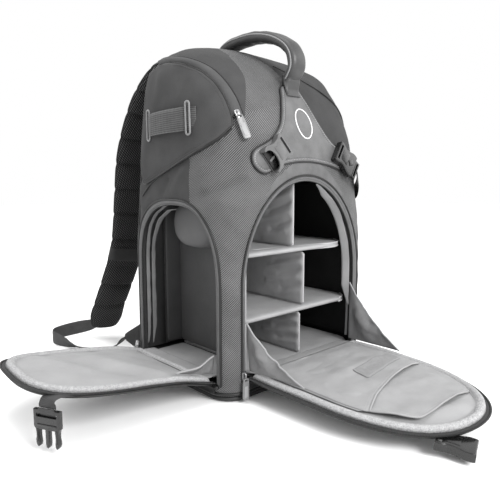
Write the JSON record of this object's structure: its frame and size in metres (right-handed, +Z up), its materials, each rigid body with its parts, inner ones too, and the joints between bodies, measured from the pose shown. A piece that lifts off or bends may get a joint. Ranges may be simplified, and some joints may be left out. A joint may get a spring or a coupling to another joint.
{
  "type": "camera backpack",
  "caption": "Camera backpack with a front hatch and a side camera hatch folded open, padded dividers, top panel, carry handle and two shoulder straps.",
  "frame": {"origin": "on the ground, under the middle of the body, in the flat underside of the base panel", "axes": "+Z up; the front hatch faces -Y; the camera hatch faces -X; the shoulder straps are at +Y"},
  "size_m": [0.5945, 0.7068, 0.507],
  "materials": {
    "shell_fabric": "matte",
    "side_fabric": "matte",
    "patch_fabric": "matte",
    "base_fabric": "matte",
    "lining_fabric": "matte",
    "loop_tape": "matte",
    "dark_lining": "matte",
    "divider_fabric": "matte",
    "board": "matte",
    "zip_tape": "matte",
    "webbing": "matte",
    "air_mesh": "matte",
    "harness_fabric": "matte",
    "black_plastic": "satin",
    "grey_plastic": "satin",
    "slider_metal": "satin"
  },
  "bodies": {
    "root": {"body_shell": "shell_fabric", "base_panel": "base_fabric", "compartment_floor": "lining_fabric", "lining_back": "dark_lining", "lining_right": "lining_fabric", "back_frame_sheet": "board", "cell_partition": "divider_fabric", "shelf_upper": "divider_fabric", "shelf_lower": "divider_fabric", "divider_upper": "divider_fabric", "divider_middle": "divider_fabric", "divider_lower": "divider_fabric", "camera_cell_hood": "dark_lining", "camera_cell_base_pad": "lining_fabric", "front_zip_tape": "zip_tape", "side_zip_tape": "zip_tape", "top_zip_tape": "zip_tape", "front_patch": "patch_fabric", "buckle_socket_left": "grey_plastic", "buckle_socket_right": "black_plastic", "buckle_plug_right": "black_plastic", "compression_strap_right": "webbing", "handle_grip": "shell_fabric", "strap_yoke": "harness_fabric", "back_pad_left": "air_mesh", "back_pad_right": "air_mesh", "lumbar_pad": "air_mesh", "anchor_wing_left": "harness_fabric", "anchor_wing_right": "harness_fabric", "lower_webbing_left": "webbing", "lower_webbing_right": "webbing", "front_gusset_left": "lining_fabric", "front_gusset_right": "lining_fabric", "side_gusset": "lining_fabric"},
    "front_flap": {"front_flap_shell": "shell_fabric", "front_flap_lining": "lining_fabric", "front_flap_zip_edge": "zip_tape", "front_flap_pocket_upper": "lining_fabric", "front_flap_pocket_lower": "lining_fabric", "front_flap_loop_strip": "loop_tape"},
    "front_buckle": {"buckle_socket_front": "black_plastic"},
    "side_flap": {"side_flap_shell": "shell_fabric", "side_flap_lining": "lining_fabric", "side_flap_zip_edge": "zip_tape", "side_buckle_webbing": "webbing"},
    "side_buckle": {"buckle_plug_side": "black_plastic"},
    "top_panel": {"top_panel": "side_fabric", "loop_webbing": "webbing", "eyelet_front": "grey_plastic", "eyelet_rear": "grey_plastic"},
    "top_slider": {"top_zip_slider": "slider_metal"},
    "top_pull": {"top_zip_pull": "grey_plastic"},
    "front_slider": {"front_zip_slider": "slider_metal"},
    "front_pull": {"front_zip_pull": "grey_plastic"},
    "side_slider": {"side_zip_slider": "slider_metal"},
    "side_pull": {"side_zip_pull": "grey_plastic"},
    "left_strap": {"shoulder_strap_left": "air_mesh", "ladder_lock_left": "black_plastic"},
    "right_strap": {"shoulder_strap_right": "air_mesh", "ladder_lock_right": "black_plastic"}
  },
  "joints": [
    {"name": "front_flap_hinge", "type": "hinge", "parent": "root", "child": "front_flap", "pos_m": [0, -0.118, 0.027], "axis": [-1, 0, 0], "range_deg": [0, 91.5], "deforming": ["front_gusset_left", "front_gusset_right"]},
    {"name": "front_buckle_swing", "type": "hinge", "parent": "front_flap", "child": "front_buckle", "pos_m": [-0.052, -0.34292, 0.01611], "axis": [1, 0, 0], "range_deg": [0, 60]},
    {"name": "side_flap_hinge", "type": "hinge", "parent": "root", "child": "side_flap", "pos_m": [-0.15, -0.004, 0.022], "axis": [0, 1, 0], "range_deg": [0, 77.5], "deforming": ["side_gusset"]},
    {"name": "side_buckle_swing", "type": "hinge", "parent": "side_flap", "child": "side_buckle", "pos_m": [-0.36, -0.074, 0.04967], "axis": [0, 1, 0], "range_deg": [-50, 50]},
    {"name": "top_panel_hinge", "type": "hinge", "parent": "root", "child": "top_panel", "pos_m": [-0.1525, 0, 0.3015], "axis": [0, -0.9445, 0.3286], "range_deg": [0, 55]},
    {"name": "top_slider_travel", "type": "hinge", "parent": "root", "child": "top_slider", "pos_m": [-0.16385, -0.00028, 0.33162], "axis": [-0.8974, -0.4328, 0.0861], "range_deg": [0, 46]},
    {"name": "top_pull_swing", "type": "hinge", "parent": "top_slider", "child": "top_pull", "pos_m": [-0.11375, -0.10259, 0.36731], "axis": [-0.856, 0.4187, -0.3033], "range_deg": [0, 120]},
    {"name": "front_slider_travel", "type": "slide", "parent": "root", "child": "front_slider", "axis": [0, 0, 1], "range_m": [0, 0.105]},
    {"name": "front_pull_swing", "type": "hinge", "parent": "front_slider", "child": "front_pull", "pos_m": [-0.1216, -0.1232, 0.033], "axis": [-1, 0, 0], "range_deg": [0, 150]},
    {"name": "side_slider_travel", "type": "slide", "parent": "root", "child": "side_slider", "axis": [0, 0, 1], "range_m": [0, 0.09]},
    {"name": "side_pull_swing", "type": "hinge", "parent": "side_slider", "child": "side_pull", "pos_m": [-0.1552, 0.0927, 0.033], "axis": [0, 1, 0], "range_deg": [0, 150]},
    {"name": "left_strap_swing", "type": "hinge", "parent": "root", "child": "left_strap", "pos_m": [-0.076, 0.074, 0.462], "axis": [1, 0, 0], "range_deg": [-6, 25], "deforming": ["lower_webbing_left"]},
    {"name": "right_strap_swing", "type": "hinge", "parent": "root", "child": "right_strap", "pos_m": [0.076, 0.074, 0.462], "axis": [1, 0, 0], "range_deg": [-6, 25], "deforming": ["lower_webbing_right"]}
  ]
}
